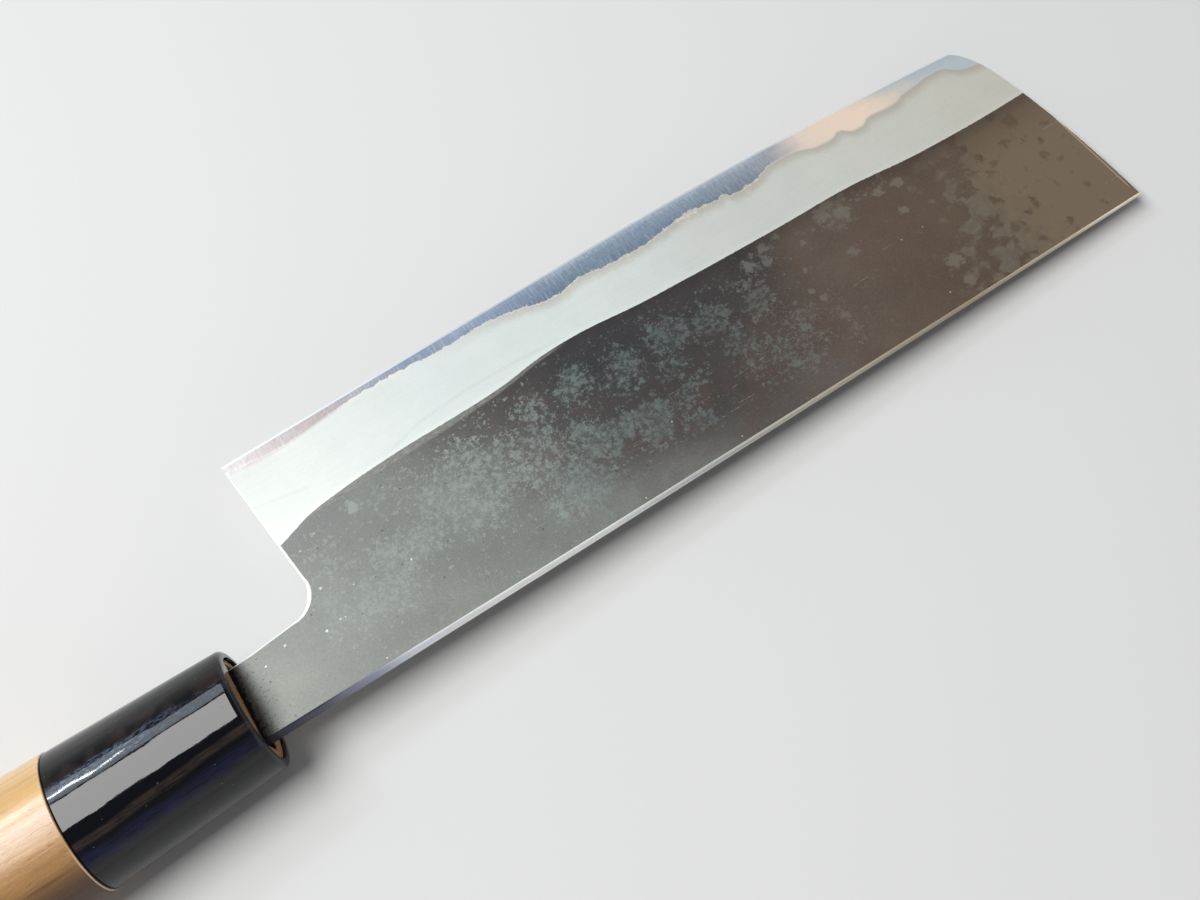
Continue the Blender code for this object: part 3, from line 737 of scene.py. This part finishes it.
class KNIFE_OT_cladding(bpy.types.Operator):
    """Finish the two iron claddings: forge scale on the flats and the satin bevel"""

    bl_idname = "knife.cladding"
    bl_label = "Claddings"

    def execute(self, context):
        material = blade_material("scaled_iron", context.scene.blade_finish, False)
        for node in ("left_cladding", "right_cladding"):
            dress(node, material)
        return {"FINISHED"}


class KNIFE_OT_ferrule(bpy.types.Operator):
    """Finish the ferrule in glossy black plastic"""

    bl_idname = "knife.ferrule"
    bl_label = "Ferrule"

    def execute(self, context):
        material = bpy.data.materials.new("glossy_plastic")
        sheet = Sheet(material)
        x, y, z = sheet.handle_place()
        place = sheet.vector(x, y, z)

        # Moulded plastic: slow waves along it, a fine dimpled skin, rubbed streaks and a few dust specks
        wave = sheet.noise(sheet.vector(x * 0.06, y * 0.10, z * 0.10), 1.0, 2, 0.5)
        peel = sheet.noise(sheet.vector(x * 0.5, y * 1.0, z * 1.0), 1.1, 2, 0.5)
        rub = sheet.noise(sheet.vector(x * 0.22, y * 3.6, z * 3.6), 1.0, 4, 0.7)
        smudge = sheet.noise(place, 0.22, 3, 0.5)
        near, chance = sheet.cells(place, 0.9)
        dust = near.rises(0.14, 0.06) * chance.rises(0.84, 0.86)
        fine = sheet.noise(sheet.vector(x * 0.7, y * 0.3 + x * 0.35, z * 7.0), 1.0, 3, 0.7)
        hairline = fine.rises(0.68, 0.72)
        roughness = rub.rises(0.56, 0.80) * 0.08 + smudge.rises(0.48, 0.75) * 0.05 + hairline * 0.10 + 0.045
        colour = context.scene.handle_finish.plastic_colour

        # Painted reflections along the upper side: a brown smudge, and bluish flecks that fade towards the
        # rim
        level = y + wave * 2 - 1
        flecks = sheet.noise(sheet.vector(x * 0.8, y * 2.4, z * 2.4), 1.2, 4, 0.8)
        painted_brown_smudge = smudge.rises(0.42, 0.58) * level.between(3.6, 5.2, 1.3)
        colour = sheet.mix(painted_brown_smudge * 0.6, colour, tone(48, 39, 34))
        patchy = smudge.rises(0.35, 0.55) * 0.5 + 0.4
        painted_blue_flecks = level.between(1.6, 3.2, 0.8) * flecks.rises(0.44, 0.62) * patchy
        colour = sheet.mix(painted_blue_flecks * (x.rises(-6, -17) * 0.7 + 0.3), colour, tone(92, 105, 128))

        # Two fainter painted reflections as streaks on the spine's side, one brown and one navy
        slope = level + 5.7 - x * 0.045
        streak_weight = smudge.rises(0.30, 0.55) * 0.5 + 0.5
        painted_brown_streak = slope.between(-0.3, 0.3, 0.6) * streak_weight * rub.rises(0.30, 0.55)
        colour = sheet.mix(painted_brown_streak * 0.75, colour, tone(58, 50, 45))
        painted_navy_streak = (slope + 2.4).between(-0.6, 0.5, 0.6) * rub.rises(0.36, 0.60) * 0.5
        colour = sheet.mix(painted_navy_streak, colour, tone(28, 31, 74))
        colour = sheet.mix(rub.rises(0.62, 0.80) * 0.20, colour, tone(24, 26, 34))
        colour = sheet.mix(dust * 0.4, colour, tone(120, 122, 120))
        height = wave * 0.20 + peel * 0.0055 + rub * 0.0006 + dust * 0.01
        sheet.surface(PLASTIC_FIXED, base_color=colour, roughness=roughness, normal=sheet.bump(height))
        shade_round(dress("ferrule", material))
        return {"FINISHED"}


class KNIFE_OT_handle(bpy.types.Operator):
    """Finish the wooden handle, with its grain and the charred mouth of the tang's slot"""

    bl_idname = "knife.handle"
    bl_label = "Handle"

    def execute(self, context):
        material = bpy.data.materials.new("magnolia_wood")
        sheet = Sheet(material)
        x, y, z = sheet.handle_place()

        # Long grain: slow bands that bend, fibres, short dark pores and a few dark streaks
        bend = sheet.noise(sheet.vector(x * 0.012, y * 0.05, z * 0.05), 1.0, 2) * 3.0
        rings = sheet.noise(sheet.vector(x * 0.010, y * 0.34 + bend, z * 0.34), 1.0, 3, 0.55)
        fibre = sheet.noise(sheet.vector(x * 0.10, y * 2.6, z * 2.6), 1.0, 5, 0.75)
        pores = sheet.noise(sheet.vector(x * 0.45, y * 8.0, z * 8.0), 1.0, 2, 0.6)
        dashes = sheet.noise(sheet.vector(x * 0.9, y * 5.0, z * 5.0), 1.0, 3, 0.7)
        streak = sheet.noise(sheet.vector(x * 0.022, y * 0.85 + bend, z * 0.85), 1.0, 4, 0.65)
        colour = context.scene.handle_finish.wood_colour
        colour = sheet.mix(rings.rises(0.40, 0.66) * 0.70, colour, tone(172, 122, 74))
        colour = sheet.mix(fibre.rises(0.50, 0.72) * 0.45, colour, tone(150, 104, 62))
        colour = sheet.mix(fibre.rises(0.47, 0.30) * 0.45, colour, tone(236, 200, 142))
        grit = sheet.noise(sheet.vector(x * 1.3, y * 3.4, z * 3.4), 1.0, 3, 0.75)
        colour = sheet.mix(streak.rises(0.57, 0.70) * 0.65, colour, tone(116, 74, 42))
        colour = sheet.mix(dashes.rises(0.60, 0.70) * 0.30, colour, tone(242, 214, 170))
        colour = sheet.mix(grit.rises(0.54, 0.68) * 0.35, colour, tone(128, 86, 50))
        colour = sheet.mix(pores.rises(0.62, 0.72) * 0.50, colour, tone(104, 68, 40))

        # Painted shade darkens the wood towards the spine's side, most at its far side; a painted highlight
        # makes it paler towards the edge's side
        spine_side_shade = (y + bend).rises(0.0, -12.5)
        colour = sheet.mix(spine_side_shade * 0.88, colour, tone(84, 52, 33))
        # Painted shade, darkest at the spine's side
        colour = sheet.mix(y.rises(-8.0, -12.0) * 0.65, colour, tone(36, 24, 20))
        # A painted highlight: paler towards the edge's side
        edge_side_highlight = (y + bend * 0.6).rises(0.0, 6.0)
        colour = sheet.mix(edge_side_highlight * 0.50, colour, tone(246, 204, 134))

        # Against the ferrule the wood ends in a dark line, and its rim has worn pale on the spine's side
        joint = x + FERRULE_LENGTH
        worn = y.rises(-5, -10) * 0.5 + 0.08
        colour = sheet.mix(joint.between(-0.58, -0.44, 0.10) * worn, colour, tone(240, 214, 178))
        colour = sheet.mix(joint.between(-0.30, 0.40, 0.08) * 0.9, colour, tone(34, 23, 16))

        # The end grain at the mouth: tan at the outside, charred black round the slot
        at_mouth = x.rises(*MOUTH)
        speckle = sheet.noise(sheet.vector(x, y, z), 3.2, 4, 0.7)
        end_grain = sheet.mix(speckle.rises(0.35, 0.65), tone(206, 152, 102), tone(146, 99, 61))
        colour = sheet.mix(at_mouth, colour, end_grain)
        over = (abs(y + RIM[1] - (TANG_FAR + TANG_NEAR) / 2) - (TANG_FAR - TANG_NEAR) / 2).most(0)
        aside = (abs(z) - TANG_HALF).most(0)
        away = (over * over * 2.4 + aside * aside) ** 0.5
        burn = sheet.noise(sheet.vector(x, y, z), 0.8, 5, 0.68) * 3.0
        char = (away + burn).rises(3.7, 2.7) * at_mouth
        colour = sheet.mix(char * 0.96, colour, tone(14, 10, 8))

        height = fibre * 0.030 - pores.rises(0.60, 0.75) * 0.022 + grit * 0.016 + rings * 0.02
        roughness = fibre * 0.16 + 0.27 + at_mouth * 0.3 + spine_side_shade * 0.2
        gloss = y.rises(-5.0, 1.8) * 0.88 + 0.12
        normal = sheet.bump(height)
        sheet.surface(WOOD_FIXED, base_color=colour, roughness=roughness, coat_weight=gloss, normal=normal)
        shade_round(dress("handle", material))
        return {"FINISHED"}


# The camera: its place and the point it looks at, the direction on the floor that is up in the picture,
# and its lens and film in mm
CAMERA_PLACE = Vector((27.21, -95.06, 219.13)) * mm
CAMERA_AIM = Vector((46.34, -6.79, 8.0)) * mm
CAMERA_UP = math.radians(58.0)
CAMERA_LENS = 39.0
CAMERA_FILM = 36.0

# The soft lamps: place, width and depth in m, and colour; the two behind also have their brightness
KEY_SOFTBOX = ((-0.28, 0.125, 0.85), 0.42, 0.60, (1.0, 1.0, 0.985))
BACK_STRIP = ((-0.22, 0.60, 0.80), 0.5, 0.26, (0.80, 0.90, 1.0), 3.6)
BACK_GLINT = ((-0.395, 0.60, 0.78), 0.11, 0.035, (0.88, 0.94, 1.0), 38.0)

# The floor: half its width in m, and the distances between which it fades into the backdrop
FLOOR_HALF = 4.0
FADE_START, FADE_END = 0.24, 0.66
BACKDROP = (0.80, 0.80, 0.79)


# The world's colour by height, from the horizon up
WORLD_STOPS = ((0.0, BACKDROP), (0.12, BACKDROP), (0.45, (0.28, 0.28, 0.29)), (0.8, (0.10, 0.10, 0.11)))


def aim(thing, place, target, upward):
    """Places a camera or a lamp and points it at a target."""
    back = (place - target).normalized()
    up = (upward - back * upward.dot(back)).normalized()
    turn = Matrix((up.cross(back), up, back)).transposed()
    thing.matrix_world = Matrix.Translation(place) @ turn.to_4x4()


def softbox(name, place, width, depth, colour, brightness):
    """A large soft lamp, aimed at the knife, of this brightness as seen, where 1 is white."""
    lamp = bpy.data.lights.new(name, "AREA")
    lamp.shape = "RECTANGLE"
    lamp.size, lamp.size_y = width, depth
    lamp.energy = brightness * math.pi * width * depth
    lamp.color = colour
    holder = bpy.data.objects.new(name, lamp)
    bpy.context.scene.collection.objects.link(holder)
    aim(holder, Vector(place), Vector((0, 0, 0.01)), Vector((0, 1, 0)))
    holder.visible_camera = False


class KNIFE_OT_stage(bpy.types.Operator):
    """Set the pale floor, the soft lights, the world and the camera"""

    bl_idname = "knife.stage"
    bl_label = "Stage"

    def execute(self, context):
        settings = context.scene.stage_settings
        self.make_floor(settings)
        self.make_world()
        softbox("key_softbox", *KEY_SOFTBOX, settings.key_light)
        softbox("back_strip", *BACK_STRIP)
        softbox("back_glint", *BACK_GLINT)
        camera = bpy.data.cameras.new("camera")
        camera.lens, camera.sensor_width, camera.sensor_fit = CAMERA_LENS, CAMERA_FILM, "HORIZONTAL"
        camera.clip_start, camera.clip_end = 0.005, 20.0
        holder = bpy.data.objects.new("camera", camera)
        context.scene.collection.objects.link(holder)
        aim(holder, CAMERA_PLACE, CAMERA_AIM, Vector((math.cos(CAMERA_UP), math.sin(CAMERA_UP), 0)))
        context.scene.camera = holder
        context.scene.view_settings.view_transform = "Standard"
        return {"FINISHED"}

    def make_floor(self, settings):
        mesh = bpy.data.meshes.new("floor")
        corners = [(x * FLOOR_HALF, y * FLOOR_HALF, 0) for x, y in ((-1, -1), (1, -1), (1, 1), (-1, 1))]
        mesh.from_pydata(corners, [], [(0, 1, 2, 3)])
        floor = bpy.data.objects.new("floor", mesh)
        bpy.context.scene.collection.objects.link(floor)
        material = bpy.data.materials.new("pale_floor")
        sheet = Sheet(material)
        place = sheet.node("ShaderNodeTexCoord", None, None, "Object")
        away = sheet.vectors("LENGTH", place, output="Value")
        near = sheet.node("ShaderNodeBsdfDiffuse", None, {"Color": settings.floor_colour})
        path = sheet.node("ShaderNodeLightPath")
        rays = path.socket.node.outputs
        seen = Value(sheet, rays["Is Camera Ray"]).most(Value(sheet, rays["Is Glossy Ray"]))
        seen = seen.most(Value(sheet, rays["Is Transmission Ray"]))
        far = sheet.node("ShaderNodeEmission", None, {"Color": BACKDROP, "Strength": 1.0})
        share = away.rises(FADE_START, FADE_END) * seen
        shader = sheet.node("ShaderNodeMixShader", None, {0: share, 1: near, 2: far})
        sheet.node("ShaderNodeOutputMaterial", None, {"Surface": shader})
        mesh.materials.append(material)

    def make_world(self):
        world = bpy.data.worlds.new("studio")
        bpy.context.scene.world = world
        sheet = Sheet(world)
        direction = sheet.node("ShaderNodeTexCoord", None, None, "Generated")
        height = sheet.node("ShaderNodeSeparateXYZ", None, {0: direction}, "Z")
        colour = sheet.node("ShaderNodeValToRGB", {"stops": WORLD_STOPS}, {0: height})
        shader = sheet.node("ShaderNodeBackground", None, {"Color": colour, "Strength": 1.0})
        sheet.node("ShaderNodeOutputWorld", None, {"Surface": shader})


class KNIFE_PT_looks(bpy.types.Panel):
    """Knife looks"""

    bl_label = "Knife"
    bl_idname = "KNIFE_PT_looks"
    bl_space_type = "VIEW_3D"
    bl_region_type = "UI"
    bl_category = "Knife"

    def draw(self, context):
        for group in SETTINGS:
            settings = getattr(context.scene, group)
            for name in settings.__annotations__:
                self.layout.prop(settings, name)
        for operator in OPERATORS:
            self.layout.operator(operator.bl_idname)


SETTINGS = {"blade_finish": BladeFinish, "handle_finish": HandleFinish, "stage_settings": StageSettings}
OPERATORS = (KNIFE_OT_core_steel, KNIFE_OT_cladding, KNIFE_OT_ferrule, KNIFE_OT_handle, KNIFE_OT_stage)


def register():
    for made in (*SETTINGS.values(), *OPERATORS, KNIFE_PT_looks):
        bpy.utils.register_class(made)
    for name, group in SETTINGS.items():
        setattr(bpy.types.Scene, name, PointerProperty(type=group))


def unregister():
    for name in SETTINGS:
        delattr(bpy.types.Scene, name)
    for made in reversed((*SETTINGS.values(), *OPERATORS, KNIFE_PT_looks)):
        bpy.utils.unregister_class(made)


def main():
    register()
    bpy.ops.knife.core_steel()
    bpy.ops.knife.cladding()
    bpy.ops.knife.ferrule()
    bpy.ops.knife.handle()
    bpy.ops.knife.stage()


if __name__ == "__main__":
    main()
